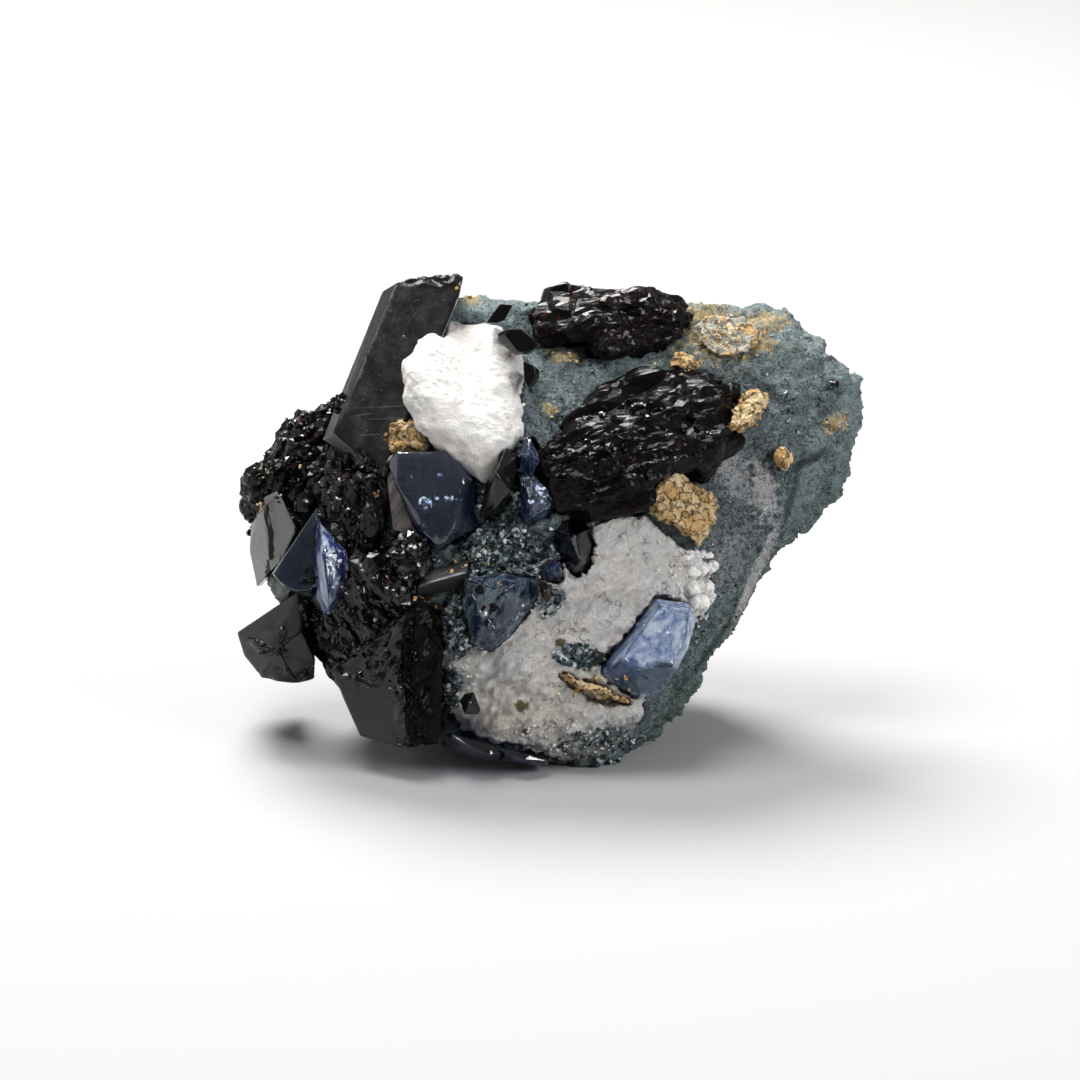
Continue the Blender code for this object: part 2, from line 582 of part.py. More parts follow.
def smoky_plate():
    """A smoky, brown-edged plate that stands beside the upper benitoite."""
    corners = [
        (-16.7, 7.8, 9.0), (-16.8, 6.6, 10.0), (-16.1, 1.2, 12.0), (-12.9, 0.2, 12.5),
        (-12.3, 7.7, 11.0), (-14.9, 8.3, 10.0), (-16.1, 6.7, 5.0), (-13.3, 1.1, 6.0),
    ]
    return [add_piece("smoky_plate", faceted(corners), SMOKY)]


def ochre_crusts():
    """Iron-stained crusts and clods that lie on the rock and between the crystals."""
    plate = [
        (14.9, 9.0), (16.9, 6.4), (18.9, 5.4), (19.9, 3.2), (19.4, 1.2), (17.5, -0.8), (14.5, 1.2),
        (12.7, 1.8), (11.3, 3.9), (11.9, 5.4), (13.5, 7.6),
    ]
    clod = [
        (21.3, 15.3), (23.7, 17.2), (25.3, 16.6), (25.3, 14.8), (24.1, 13.0), (21.3, 11.6),
        (20.6, 12.2),
    ]
    top = [
        (17.0, 24.9), (20.1, 25.2), (25.2, 24.6), (26.0, 23.1), (22.9, 20.6), (20.7, 20.1),
        (18.0, 21.4),
    ]
    top_small = [(13.8, 19.4), (15.6, 21.3), (17.8, 19.9), (17.4, 18.9), (15.6, 19.0)]
    spot = [(27.1, 10.6), (28.5, 9.1), (27.9, 8.0), (26.7, 7.8), (25.9, 8.6), (26.0, 9.9)]
    band = [
        (1.8, -14.5), (2.7, -14.4), (5.5, -15.8), (9.0, -16.8), (10.6, -17.7), (10.2, -18.7),
        (7.1, -17.6), (3.8, -16.6),
    ]
    patch = [
        (-17.3, 12.2), (-16.6, 13.2), (-13.3, 13.2), (-12.2, 11.5), (-11.8, 10.2), (-15.3, 9.2),
        (-17.3, 9.4),
    ]
    shapes = {
        "ochre_plate": crust(plate, (15.5, 3.8), height=3.0),
        "ochre_clod": crust(clod, (23.2, 14.6), height=2.6),
        "ochre_top": crust(top, (21.5, 22.4), height=2.1),
        "ochre_top_small": crust(top_small, (15.9, 19.9), height=2.2),
        "ochre_spot": crust(spot, (27.2, 9.2), height=2.0),
        "ochre_band": crust(band, (6.3, -16.4), height=2.8),
        "ochre_patch": crust(patch, (-14.8, 11.3), height=3.8),
    }
    for order, mesh in enumerate(shapes.values()):
        roughen(mesh, grain=1.6, depth=0.3, start=80 + order)
    return [add_piece(name, mesh, OCHRE, HEADROOM) for name, mesh in shapes.items()]


def stand_up(pieces):
    """Leans the face back, and sets the specimen down in the middle of its footprint."""
    stand = bpy.data.objects.new("stand_up", None)
    specimen.objects.link(stand)
    lean = Matrix.Rotation(-LEAN, 4, "X")
    corners = [lean @ vert.co for piece in pieces for vert in piece.data.vertices]
    middle = [(min(c[i] for c in corners) + max(c[i] for c in corners)) / 2 for i in range(2)]
    stand.rotation_euler.x = -LEAN
    stand.location = Vector((-middle[0], -middle[1], LIFT)) * MM
    for piece in pieces:
        piece.data.transform(Matrix.Scale(MM, 4))
        piece.parent = stand


empty_scene()
specimen = bpy.data.collections.new("benitoite_specimen")
cutters = bpy.data.collections.new("cutters")
bpy.context.scene.collection.children.link(specimen)
bpy.context.scene.collection.children.link(cutters)
sockets = {}
noise.seed_set(NOISE_SEED)

matrix = rock()
faced = [neptunite_prism()] + neptunite_blocks()
small = neptunite_smalls()
blue = benitoites()
masses = neptunite_masses()
smoky = smoky_plate()
white = natrolites()
ochre = ochre_crusts()

# Crystals keep their shape, natrolite grows round them, crusts lie on what is there,
# and the rock has a socket for each crystal and for the natrolite.
crystals = faced + small + blue + smoky + masses
for place, piece in enumerate(crystals):
    make_room(piece, crystals[:place])
for piece in ochre:
    make_room(piece, crystals + [matrix])
for place, piece in enumerate(white):
    make_room(piece, crystals + ochre + white[:place])
make_room(matrix, crystals + white)
stand_up(crystals + ochre + white + [matrix])
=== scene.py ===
import math
import random

import bmesh
import bpy
from mathutils import Matrix, Vector


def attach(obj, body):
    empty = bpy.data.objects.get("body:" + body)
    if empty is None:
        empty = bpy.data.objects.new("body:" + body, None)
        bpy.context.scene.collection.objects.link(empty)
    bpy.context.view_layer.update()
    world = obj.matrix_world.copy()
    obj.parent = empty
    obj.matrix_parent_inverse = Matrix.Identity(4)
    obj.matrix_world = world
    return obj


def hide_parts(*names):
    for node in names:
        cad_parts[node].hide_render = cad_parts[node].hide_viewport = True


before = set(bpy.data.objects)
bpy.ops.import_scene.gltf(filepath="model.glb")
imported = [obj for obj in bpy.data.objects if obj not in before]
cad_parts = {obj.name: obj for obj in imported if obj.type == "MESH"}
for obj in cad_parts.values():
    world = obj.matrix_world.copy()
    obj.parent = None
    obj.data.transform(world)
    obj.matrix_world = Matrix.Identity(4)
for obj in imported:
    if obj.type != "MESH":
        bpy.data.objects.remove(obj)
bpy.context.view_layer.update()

# The camera looks 18 degrees down on the crystal side from 67 cm away, through a long lens.
# The crystal side leans back by the same angle, so it is seen square on, and places on it
# are given as picture places: across and down in a picture of 1080 by 1080. UPRIGHT stands
# the crystal side up straight, and LEAN_BACK leans it back again.
MM = 0.001
LEAN = math.radians(18)
LEAN_BACK = Matrix.Rotation(-LEAN, 3, "X")
UPRIGHT = Matrix.Rotation(LEAN, 3, "X")
STAND = Vector((-1.162, -0.442, 21.9)) * MM
CAMERA_DISTANCE = 0.672
LENS = 200
STEP_MM = 0.112
PICTURE_STEP = STEP_MM * MM
PICTURE_MIDDLE = 540

camera = bpy.data.cameras.new("camera")
camera.lens = LENS
camera.clip_start = 0.01
eye = bpy.data.objects.new("camera", camera)
bpy.context.scene.collection.objects.link(eye)
eye.location = STAND + CAMERA_DISTANCE * Vector((0, -math.cos(LEAN), math.sin(LEAN)))
eye.rotation_euler = (math.pi / 2 - LEAN, 0, 0)
bpy.context.scene.camera = eye
bpy.context.scene.view_settings.view_transform = "Standard"


# The stand is a plain pale floor in a light tent: the key is a broad panel behind and above,
# softer panels are overhead in front and at the right, and the tent is bright on the left and
# dim in front.
def wired(tree, kind, inputs=(), **settings):
    """A shader node with its settings, whose inputs are set to values or joined to sockets."""
    made = tree.nodes.new("ShaderNode" + kind)
    for setting, value in settings.items():
        setattr(made, setting, value)
    for key, value in dict(inputs).items():
        if isinstance(value, bpy.types.NodeSocket):
            tree.links.new(value, made.inputs[key])
        else:
            made.inputs[key].default_value = value
    return made


def blend(tree, share, first, second):
    mixed = wired(tree, "Mix", {"Factor": share, "A": first, "B": second}, data_type="RGBA")
    return mixed.outputs["Result"]


def new_material(name):
    """An empty material, with its tree and its Principled shader."""
    material = bpy.data.materials.new(name)
    material.use_nodes = True
    return material, material.node_tree, material.node_tree.nodes["Principled BSDF"]


def panel(name, place, size, power, colour):
    light = bpy.data.lights.new(name, "AREA")
    light.shape = "DISK"
    light.size = size
    light.energy = power
    light.color = colour
    lamp = bpy.data.objects.new(name, light)
    bpy.context.scene.collection.objects.link(lamp)
    lamp.location = place
    lamp.rotation_euler = (STAND - Vector(place)).to_track_quat("-Z", "Y").to_euler()


bpy.ops.object.select_all(action="DESELECT")
bpy.ops.mesh.primitive_plane_add(size=12, location=(0, 0, -0.0001))
floor = bpy.context.object
floor.name = "floor"
paper, tree, shader = new_material("pale_paper")
shader.inputs["Base Color"].default_value = (0.40, 0.40, 0.402, 1)
shader.inputs["Roughness"].default_value = 0.8
floor.data.materials.append(paper)

panel("key_behind", (-0.10, 0.32, 0.46), 0.28, 5.3, (1.0, 0.985, 0.96))
panel("front_overhead", (-0.14, -0.03, 0.64), 0.32, 3.0, (1.0, 0.99, 0.98))
panel("right_fill", (0.52, -0.30, 0.30), 0.3, 3.0, (0.97, 0.99, 1.0))

TENT_FRONT = (0.06, 0.06, 0.06, 1)
TENT_BACK = (0.30, 0.30, 0.30, 1)
TENT_LEFT = (0.9, 0.9, 0.9, 1)
TENT_TOP = (0.25, 0.25, 0.25, 1)
room = bpy.data.worlds.new("room")
bpy.context.scene.world = room
room.use_nodes = True
tree = room.node_tree
axes = wired(tree, "SeparateXYZ", {"Vector": wired(tree, "TexCoord").outputs["Generated"]}).outputs
front = wired(tree, "MapRange", {"Value": axes["Y"], "From Min": -0.30, "From Max": 0.5})
left = wired(tree, "MapRange", {"Value": axes["X"], "From Min": -0.50, "From Max": -0.85})
top = wired(tree, "MapRange", {"Value": axes["Z"], "From Min": 0.45, "From Max": 0.75})
tent = blend(tree, front.outputs["Result"], TENT_FRONT, TENT_BACK)
tent = blend(tree, top.outputs["Result"], tent, TENT_TOP)
tent = blend(tree, left.outputs["Result"], tent, TENT_LEFT)
tree.links.new(tent, tree.nodes["Background"].inputs["Color"])


# The block of rock is blueschist: fine felted teal-grey grains, slate-dark on the right face
# and greener where its edge flakes. It is broken out of a boulder, with a bleached rind on
# top, pale veins and iron stains, and it carries all the other pieces. Its colour also holds
# painted highlight on the raised grains, the top edge and the ridges, and painted shade in the
# hollows of the grain and in its creases.
def apply_modifiers(piece):
    bpy.context.view_layer.objects.active = piece
    for modifier in list(piece.modifiers):
        bpy.ops.object.modifier_apply(modifier=modifier.name)


def copy_of(node, name):
    """A new piece in the shape of a CAD node, as one joined mesh."""
    piece = bpy.data.objects.new(name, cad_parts[node].data.copy())
    bpy.context.scene.collection.objects.link(piece)
    bpy.ops.object.select_all(action="DESELECT")
    piece.select_set(True)
    bpy.context.view_layer.objects.active = piece
    piece.data.materials.clear()
    bpy.ops.object.mode_set(mode="EDIT")
    bpy.ops.mesh.select_all(action="SELECT")
    bpy.ops.mesh.customdata_custom_splitnormals_clear()
    bpy.ops.mesh.remove_doubles(threshold=0.000002)
    bpy.ops.object.mode_set(mode="OBJECT")
    return piece


def skin_of(node, name, grain, swell):
    """The same as an even skin of small faces, swollen to meet its neighbours: both in mm."""
    piece = copy_of(node, name)
    remesh = piece.modifiers.new("skin", "REMESH")
    remesh.mode = "VOXEL"
    remesh.voxel_size = grain * MM
    swelling = piece.modifiers.new("swelling", "DISPLACE")
    swelling.mid_level = 0
    swelling.strength = swell * MM
    apply_modifiers(piece)
    return piece


def picture_place(across, down):
    """Millimetres to the right and up from the middle of the picture, on the crystal side."""
    right = (across - PICTURE_MIDDLE) * PICTURE_STEP / MM
    up = (PICTURE_MIDDLE - down) * PICTURE_STEP / MM
    return right, up


def ovals_of(spots):
    """Ovals of the picture, across, down and half-widths, in millimetres on the crystal side."""
    ovals = []
    for across, down, wide, high in spots:
        ovals.append((*picture_place(across, down), wide * STEP_MM, high * STEP_MM))
    return ovals


def reach_of(place, ovals):
    """How far out a place lies in the nearest oval: 0 in its middle and 1 at its edge."""
    seen = UPRIGHT @ (place - STAND) / MM
    return min(math.hypot((seen.x - u) / wide, (seen.z - v) / high) for u, v, wide, high in ovals)


def area_of(piece, spots, soft=0.35):
    """A vertex group that is full inside ovals of the picture: across, down and half-widths."""
    group = piece.vertex_groups.new(name="area")
    ovals = ovals_of(spots)
    for vert in piece.data.vertices:
        share = (1 + soft - reach_of(vert.co, ovals)) / (2 * soft)
        group.add([vert.index], min(max(share, 0), 1), "REPLACE")
    return group.name


def relief(piece, kind, size, depth, long=1, turn=0, level=0.5, spots=None, **settings):
    """Raises and lowers the surface by a pattern of a size and depth in millimetres.

    The pattern can be drawn out along one direction of the picture, in degrees from the right.
    """
    texture = bpy.data.textures.new("relief", kind)
    texture.noise_scale = 1
    for setting, value in settings.items():
        setattr(texture, setting, value)
    guide = bpy.data.objects.new("relief_guide", None)
    bpy.context.scene.collection.objects.link(guide)
    swing = Matrix.Rotation(-LEAN, 4, "X") @ Matrix.Rotation(-math.radians(turn), 4, "Y")
    guide.rotation_euler = swing.to_euler()
    guide.scale = Vector((long, 1, 1)) * size * MM
    bpy.context.view_layer.update()
    raising = piece.modifiers.new("relief", "DISPLACE")
    raising.texture = texture
    raising.texture_coords = "OBJECT"
    raising.texture_coords_object = guide
    raising.mid_level = level
    raising.strength = depth * MM
    if spots:
        raising.vertex_group = area_of(piece, spots)
    apply_modifiers(piece)
    piece.vertex_groups.clear()
    bpy.data.objects.remove(guide)
    bpy.data.textures.remove(texture)


finished = []


def settle(piece, material, nodes=(), flat=False):
    """Gives a finished piece its material, shading, body and the CAD nodes it stands for."""
    for vert in piece.data.vertices:
        vert.co.z = max(vert.co.z, 0)
    piece.data.materials.append(material)
    bpy.ops.object.select_all(action="DESELECT")
    piece.select_set(True)
    bpy.context.view_layer.objects.active = piece
    if flat:
        bpy.ops.object.shade_flat()
    else:
        bpy.ops.object.shade_smooth()
    if nodes:
        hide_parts(*nodes)
    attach(piece, "root")
    finished.append(piece)


def repaint(piece, material, spots):
    """Another material on the faces inside ovals of the picture: across, down, half-widths."""
    piece.data.materials.append(material)
    slot = len(piece.data.materials) - 1
    ovals = ovals_of(spots)
    for face in piece.data.polygons:
        if reach_of(face.center, ovals) < 1:
            face.material_index = slot


def face_place(tree):
    """Places in millimetres on the crystal side: x is across, z is up and -y is out of it."""
    shift = -(UPRIGHT @ STAND) / MM
    return wired(
        tree, "Mapping",
        {
            "Vector": wired(tree, "TexCoord").outputs["Object"],
            "Location": shift, "Rotation": (LEAN, 0, 0), "Scale": (1 / MM, 1 / MM, 1 / MM),
        },
    ).outputs["Vector"]


def drawn_out(tree, place, turn, long):
    """Places for a pattern drawn out along one direction, in degrees from the right."""
    inputs = {"Vector": place, "Rotation": (0, -math.radians(turn), 0), "Scale": (long, 1, 1)}
    return wired(tree, "Mapping", inputs, vector_type="TEXTURE").outputs["Vector"]


def grains(tree, place, size, detail=4.0, roughness=0.55, bend=0.0):
    """Soft noise about 0.5, with grains of a size in millimetres."""
    inputs = {
        "Vector": place, "Scale": 1 / size, "Detail": detail, "Roughness": roughness, "Distortion": bend,
    }
    return wired(tree, "TexNoise", inputs).outputs["Fac"]


def cells(tree, place, size, feature="F1", output="Distance"):
    inputs = {"Vector": place, "Scale": 1 / size}
    return wired(tree, "TexVoronoi", inputs, feature=feature).outputs[output]


def between(tree, value, low, high, to_low=0.0, to_high=1.0):
    """One range of values spread over another, held at both ends."""
    inputs = {"Value": value, "From Min": low, "From Max": high, "To Min": to_low, "To Max": to_high}
    return wired(tree, "MapRange", inputs).outputs["Result"]


def times(tree, first, second):
    return wired(tree, "Math", {0: first, 1: second}, operation="MULTIPLY").outputs[0]


def plus(tree, first, second):
    return wired(tree, "Math", {0: first, 1: second}, operation="ADD").outputs[0]


# Shared effect: a patch with a ragged edge, in the shape of a turned ellipsoid.
patch = bpy.data.node_groups.new("ragged_patch", "ShaderNodeTree")
for label, kind, value in (
    ("Place", "Vector", (0, 0, 0)), ("Middle", "Vector", (0, 0, 0)), ("Reach", "Vector", (1, 1, 1)),
    ("Turn", "Float", 0.0), ("Raggedness", "Float", 0.5), ("Fray", "Float", 0.5),
    ("Softness", "Float", 0.2),
):
    socket = patch.interface.new_socket(label, in_out="INPUT", socket_type="NodeSocket" + kind)
    socket.default_value = value
patch.interface.new_socket("Mask", in_out="OUTPUT", socket_type="NodeSocketFloat")
given = patch.nodes.new("NodeGroupInput").outputs
away = wired(patch, "VectorMath", {0: given["Place"], 1: given["Middle"]}, operation="SUBTRACT")
turned = wired(
    patch, "VectorRotate", {"Vector": away.outputs[0], "Angle": given["Turn"]}, rotation_type="Y_AXIS"
)
share = wired(patch, "VectorMath", {0: turned.outputs[0], 1: given["Reach"]}, operation="DIVIDE")
reach = wired(patch, "VectorMath", {0: share.outputs[0]}, operation="LENGTH").outputs["Value"]
frayed = times(patch, plus(patch, given["Fray"], -0.5), times(patch, given["Raggedness"], 2.5))
outer = plus(patch, given["Softness"], 1.0)
inner = wired(patch, "Math", {0: 1.0, 1: given["Softness"]}, operation="SUBTRACT").outputs[0]
mask = wired(
    patch, "MapRange", {"Value": plus(patch, reach, frayed), "From Min": outer, "From Max": inner}
)
patch.links.new(mask.outputs["Result"], patch.nodes.new("NodeGroupOutput").inputs["Mask"])


frays = {}


def on_patch(tree, place, oval, turn=0.0, ragged=0.5, grain=1.5, soft=0.2, thick=40.0):
    """The mask of one ragged patch: an oval of the picture, across, down and half-widths.

    Patches with the same grain in one material are frayed by the same noise.
    """
    if (tree, grain) not in frays:
        frays[tree, grain] = grains(tree, place, grain, 6.0, 0.65)
    across, down, wide, high = oval
    u, v = picture_place(across, down)
    node = tree.nodes.new("ShaderNodeGroup")
    node.node_tree = patch
    tree.links.new(place, node.inputs["Place"])
    node.inputs["Middle"].default_value = (u, 0, v)
    node.inputs["Reach"].default_value = (wide * STEP_MM, thick, high * STEP_MM)
    node.inputs["Turn"].default_value = math.radians(turn)
    node.inputs["Raggedness"].default_value = ragged
    tree.links.new(frays[tree, grain], node.inputs["Fray"])
    node.inputs["Softness"].default_value = soft
    return node.outputs["Mask"]


def bumped(tree, shader, height, depth):
    """Fine relief from a height pattern, its depth in millimetres."""
    bump = wired(tree, "Bump", {"Height": height, "Distance": depth * MM})
    tree.links.new(bump.outputs["Normal"], shader.inputs["Normal"])


def coloured(tree, shader, colour):
    tree.links.new(colour, shader.inputs["Base Color"])


ROCK_DEEP = (0.022, 0.034, 0.040, 1)
SLATE = (0.082, 0.100, 0.116, 1)
TEAL_GREY = (0.165, 0.225, 0.242, 1)
PALE_TEAL = (0.35, 0.46, 0.47, 1)
FLAKE_GREEN = (0.100, 0.158, 0.142, 1)
FIBRE_PALE = (0.46, 0.55, 0.56, 1)
LILAC_WHITE = (0.84, 0.81, 0.83, 1)
ROCK_SALT = (0.50, 0.56, 0.58, 1)
YELLOW_STAIN = (0.78, 0.64, 0.36, 1)
BROWN_STAIN = (0.30, 0.17, 0.06, 1)
BLEACHED = (0.55, 0.60, 0.58, 1)
blueschist, tree, shader = new_material("blueschist")
shader.inputs["Roughness"].default_value = 0.8
place = face_place(tree)
felt = grains(tree, place, 1.1, 12.0, 0.78, 0.6)
broad = grains(tree, place, 4.5, 3.0)
slaty = on_patch(tree, place, (750, 520, 75, 120), 20, 0.5, 2.0, 0.4)
ground = blend(tree, between(tree, broad, 0.38, 0.60), SLATE, TEAL_GREY)
ground = blend(tree, times(tree, slaty, 0.85), ground, SLATE)
green = on_patch(tree, place, (828, 490, 42, 46), 0, 0.5, 2.0, 0.3)
ground = blend(tree, green, ground, FLAKE_GREEN)
edge = on_patch(tree, place, (718, 650, 26, 130), -37, 0.5, 2.0, 0.4)
ground = blend(tree, edge, ground, FLAKE_GREEN)
dark = on_patch(tree, place, (575, 400, 45, 50), 0, 0.8, 2.0, 0.4)
ground = blend(tree, times(tree, dark, 0.7), ground, SLATE)
# Paler teal along the top edge, under the top mass and along the ridges: partly paler rock and partly
# painted highlight.
for oval, turn, share in (
    ((610, 305, 250, 26), 0, 0.75), ((770, 325, 80, 24), 12, 0.7), ((640, 368, 70, 14), 15, 0.7),
    ((545, 350, 22, 40), 0, 0.6), ((812, 470, 12, 70), -28, 0.55), ((730, 395, 40, 16), 40, 0.4),
    ((800, 345, 26, 40), -50, 0.5), ((480, 560, 60, 50), 0, 0.5), ((852, 400, 16, 52), 0, 0.75),
    ((836, 470, 16, 30), 10, 0.4),
):
    paler = on_patch(tree, place, oval, turn, 1.0, 2.0, 0.4)
    ground = blend(tree, times(tree, paler, share), ground, PALE_TEAL)
curl = wired(tree, "Math", {0: grains(tree, place, 0.7, 3.0, 0.6, 2.0), 1: 0.5}, operation="SUBTRACT")
fibre = wired(tree, "Math", {0: curl.outputs[0]}, operation="ABSOLUTE").outputs[0]
fibres = times(tree, between(tree, fibre, 0.035, 0.0), between(tree, felt, 0.42, 0.56))
crisp = grains(tree, place, 0.42, 4.0, 0.75, 1.4)
# The grain's tone follows the relief: paler on the raised grains and darker in their hollows, which is
# partly grain tone and partly painted highlight and shade.
colour = blend(tree, between(tree, felt, 0.50, 0.62, 0.0, 0.75), ground, PALE_TEAL)
colour = blend(tree, between(tree, crisp, 0.54, 0.59, 0.0, 0.75), colour, FIBRE_PALE)
colour = blend(tree, times(tree, fibres, 0.85), colour, FIBRE_PALE)
colour = blend(tree, between(tree, crisp, 0.46, 0.41, 0.0, 0.85), colour, ROCK_DEEP)
colour = blend(tree, between(tree, felt, 0.46, 0.36, 0.0, 0.85), colour, ROCK_DEEP)
# Painted shade: dark lines in the creases of the rock.
for oval, turn in (
    ((790, 500, 3.5, 36), -14), ((768, 392, 5, 34), 52), ((806, 462, 4, 26), -60),
    ((716, 640, 3, 60), -38), ((700, 372, 4, 22), 70),
):
    crease_shade = on_patch(tree, place, oval, turn, 1.2, 0.8, 0.4)
    colour = blend(tree, times(tree, crease_shade, 0.8), colour, ROCK_DEEP)
bleached = on_patch(tree, place, (276, 590, 28, 36), 0, 0.4, 2.0, 0.3)
colour = blend(tree, times(tree, bleached, 0.85), colour, BLEACHED)
salt = between(tree, grains(tree, place, 0.30, 3.0), 0.62, 0.68)
salty = on_patch(tree, place, (812, 385, 40, 40), 0, 0.5, 2.0, 0.5)
salt_share = times(tree, salt, plus(tree, times(tree, salty, 0.6), 0.35))
colour = blend(tree, salt_share, colour, ROCK_SALT)
for oval, turn, ragged, share in (
    ((763, 492, 12, 28), 12, 1.8, 0.9), ((755, 576, 5.5, 50), -24, 0.9, 0.95),
    ((733, 474, 12, 26), 30, 2.4, 0.6), ((727, 560, 14, 30), -20, 2.6, 0.35),
):
    veined = on_patch(tree, place, oval, turn, ragged, 0.8, 0.25)
    veined = times(tree, veined, between(tree, crisp, 0.40, 0.52, 0.25, 1.0))
    colour = blend(tree, times(tree, veined, share), colour, LILAC_WHITE)
stained = blend(tree, between(tree, crisp, 0.40, 0.52), BROWN_STAIN, YELLOW_STAIN)
for oval, turn, amount in (
    ((722, 336, 40, 22), 0, 2.2), ((560, 356, 12, 7), 0, 1.5), ((549, 410, 5, 8), 30, 1.5),
    ((470, 292, 11, 12), 0, 0.8), ((705, 312, 20, 10), 0, 2.2), ((570, 358, 8, 5), 0, 1.2),
    ((775, 620, 6, 26), -30, 1.6), ((768, 318, 18, 7), -10, 2.4), ((756, 345, 24, 8), 0, 2.4),
    ((834, 424, 12, 8), 30, 2.0), ((856, 482, 4, 10), 0, 1.6),
):
    stain = on_patch(tree, place, oval, turn, amount, 0.8, 0.25)
    colour = blend(tree, times(tree, stain, 0.9), colour, stained)
coloured(tree, shader, colour)
fine = plus(tree, times(tree, crisp, 0.5), times(tree, fibres, 0.12))
bumped(tree, shader, plus(tree, plus(tree, felt, times(tree, salt, 0.1)), fine), 1.1)

rock = skin_of("matrix", "rock", 0.42, 0.1)
right_edge = [(852, 420, 26, 90), (805, 330, 40, 30)]
relief(rock, "CLOUDS", 3.5, 1.6, level=0.1, spots=right_edge, noise_depth=2)
relief(rock, "VORONOI", 6.0, 1.8, 1.5, 55)
relief(rock, "WOOD", 1.6, 0.3, 1, 35, wood_type="BANDNOISE", noise_basis_2="SAW")
relief(rock, "CLOUDS", 2.2, 1.4, noise_type="HARD_NOISE", noise_depth=3)
relief(rock, "CLOUDS", 0.9, 0.7, noise_depth=2)
settle(rock, blueschist, ["matrix"])


# Natrolite is snow-white and chalky: masses of felted fibres that filled the vein and that
# the crystals grew in. The mound beside the prism is clean, with painted shade in the hollows
# of its wool. The lower field is cracked like dry plaster, with painted shade greyer in its
# hollows and at its ragged edges and in one dark pit. It is darker at its lower edge and has
# a few olive pits.
NATROLITE_WHITE = (0.86, 0.85, 0.83, 1)
NATROLITE_CREAM = (0.87, 0.825, 0.785, 1)
NATROLITE_GREY = (0.62, 0.585, 0.57, 1)
NATROLITE_WARM = (0.90, 0.80, 0.67, 1)
CRACK_BROWN = (0.10, 0.08, 0.07, 1)
OLIVE = (0.16, 0.14, 0.06, 1)
PIT_SHADE_GREEN = (0.030, 0.045, 0.030, 1)
snow, tree, shader = new_material("natrolite_snow")
shader.inputs["Roughness"].default_value = 0.9
place = face_place(tree)
wool = grains(tree, place, 0.32, 5.0, 0.7)
clean = between(tree, grains(tree, place, 3.0), 0.35, 0.60)
colour = blend(tree, clean, NATROLITE_CREAM, NATROLITE_WHITE)
lower = on_patch(tree, place, (478, 500, 60, 62), 0, 0.4, 2.0, 0.5)
colour = blend(tree, times(tree, lower, 0.6), colour, NATROLITE_CREAM)
# Painted shade: greyer in the hollows of the wool.
colour = blend(tree, between(tree, wool, 0.46, 0.32, 0.0, 0.45), colour, NATROLITE_GREY)
coloured(tree, shader, colour)
bumped(tree, shader, wool, 0.45)

mound = skin_of("natrolite_upper", "natrolite_mound", 0.22, 0.15)
relief(mound, "CLOUDS", 2.2, 0.9, noise_depth=3)
relief(mound, "VORONOI", 0.7, 0.16)
relief(mound, "CLOUDS", 0.5, 0.25, 2, -25, noise_depth=2)
settle(mound, snow, ["natrolite_upper"])


def swayed(tree, place, scale, detail, amount):
    """Places pushed about by soft noise, by an amount in millimetres."""
    push = wired(tree, "TexNoise", {"Vector": place, "Scale": scale, "Detail": detail})
    push = wired(
        tree, "VectorMath", {0: push.outputs["Color"], 1: (amount, amount, amount)}, operation="MULTIPLY"
    )
    return wired(tree, "VectorMath", {0: place, 1: push.outputs[0]}, operation="ADD").outputs[0]


plaster, tree, shader = new_material("natrolite_plaster")
shader.inputs["Roughness"].default_value = 0.92
place = face_place(tree)
wool = grains(tree, place, 0.5, 8.0, 0.7)
cracks = cells(tree, swayed(tree, place, 0.7, 5.0, 5), 3.6, "DISTANCE_TO_EDGE")
crack = times(
    tree, between(tree, cracks, 0.030, 0.010), between(tree, grains(tree, place, 3.0), 0.54, 0.60)
)
rumple = grains(tree, drawn_out(tree, place, 40, 1.6), 0.9, 8.0, 0.72, 0.4)
clean = between(tree, grains(tree, place, 3.5), 0.38, 0.60)
colour = blend(tree, clean, NATROLITE_CREAM, NATROLITE_WHITE)
# Painted shade: greyer in the hollows of the rumpled surface.
hollow_shade = between(tree, rumple, 0.46, 0.34)
colour = blend(tree, times(tree, hollow_shade, 0.45), colour, NATROLITE_GREY)
# Painted shade: grey patches on the field.
for oval, share in (
    ((470, 620, 40, 40), 0.35), ((560, 590, 60, 26), 0.45), ((640, 630, 40, 40), 0.3),
    ((570, 540, 30, 24), 0.6), ((600, 700, 30, 14), 0.2),
):
    shaded = on_patch(tree, place, oval, 0, 0.6, 2.0, 0.5)
    colour = blend(tree, times(tree, shaded, share), colour, NATROLITE_GREY)
warm = on_patch(tree, place, (520, 710, 50, 26), 0, 0.6, 2.0, 0.5)
colour = blend(tree, times(tree, warm, 0.6), colour, NATROLITE_WARM)
colour = blend(tree, times(tree, crack, 0.6), colour, CRACK_BROWN)
# Darker at the lower edge of the field.
lower_edge_dark = on_patch(tree, place, (606, 745, 56, 20), 20, 1.4, 0.9, 0.4)
colour = blend(tree, times(tree, lower_edge_dark, 0.75), colour, ROCK_DEEP)
for oval in ((522, 703, 8, 6), (526, 729, 4, 3), (560, 640, 6, 4)):
    colour = blend(tree, on_patch(tree, place, oval, 0, 0.8, 0.7), colour, OLIVE)
# Painted shade: a dark green pit.
pit_shade = on_patch(tree, place, (589, 658, 19, 11), 0, 0.9, 0.8)
colour = blend(tree, pit_shade, colour, PIT_SHADE_GREEN)
coloured(tree, shader, colour)
height = plus(tree, plus(tree, times(tree, wool, 0.5), rumple), times(tree, crack, -0.3))
bumped(tree, shader, height, 1.2)

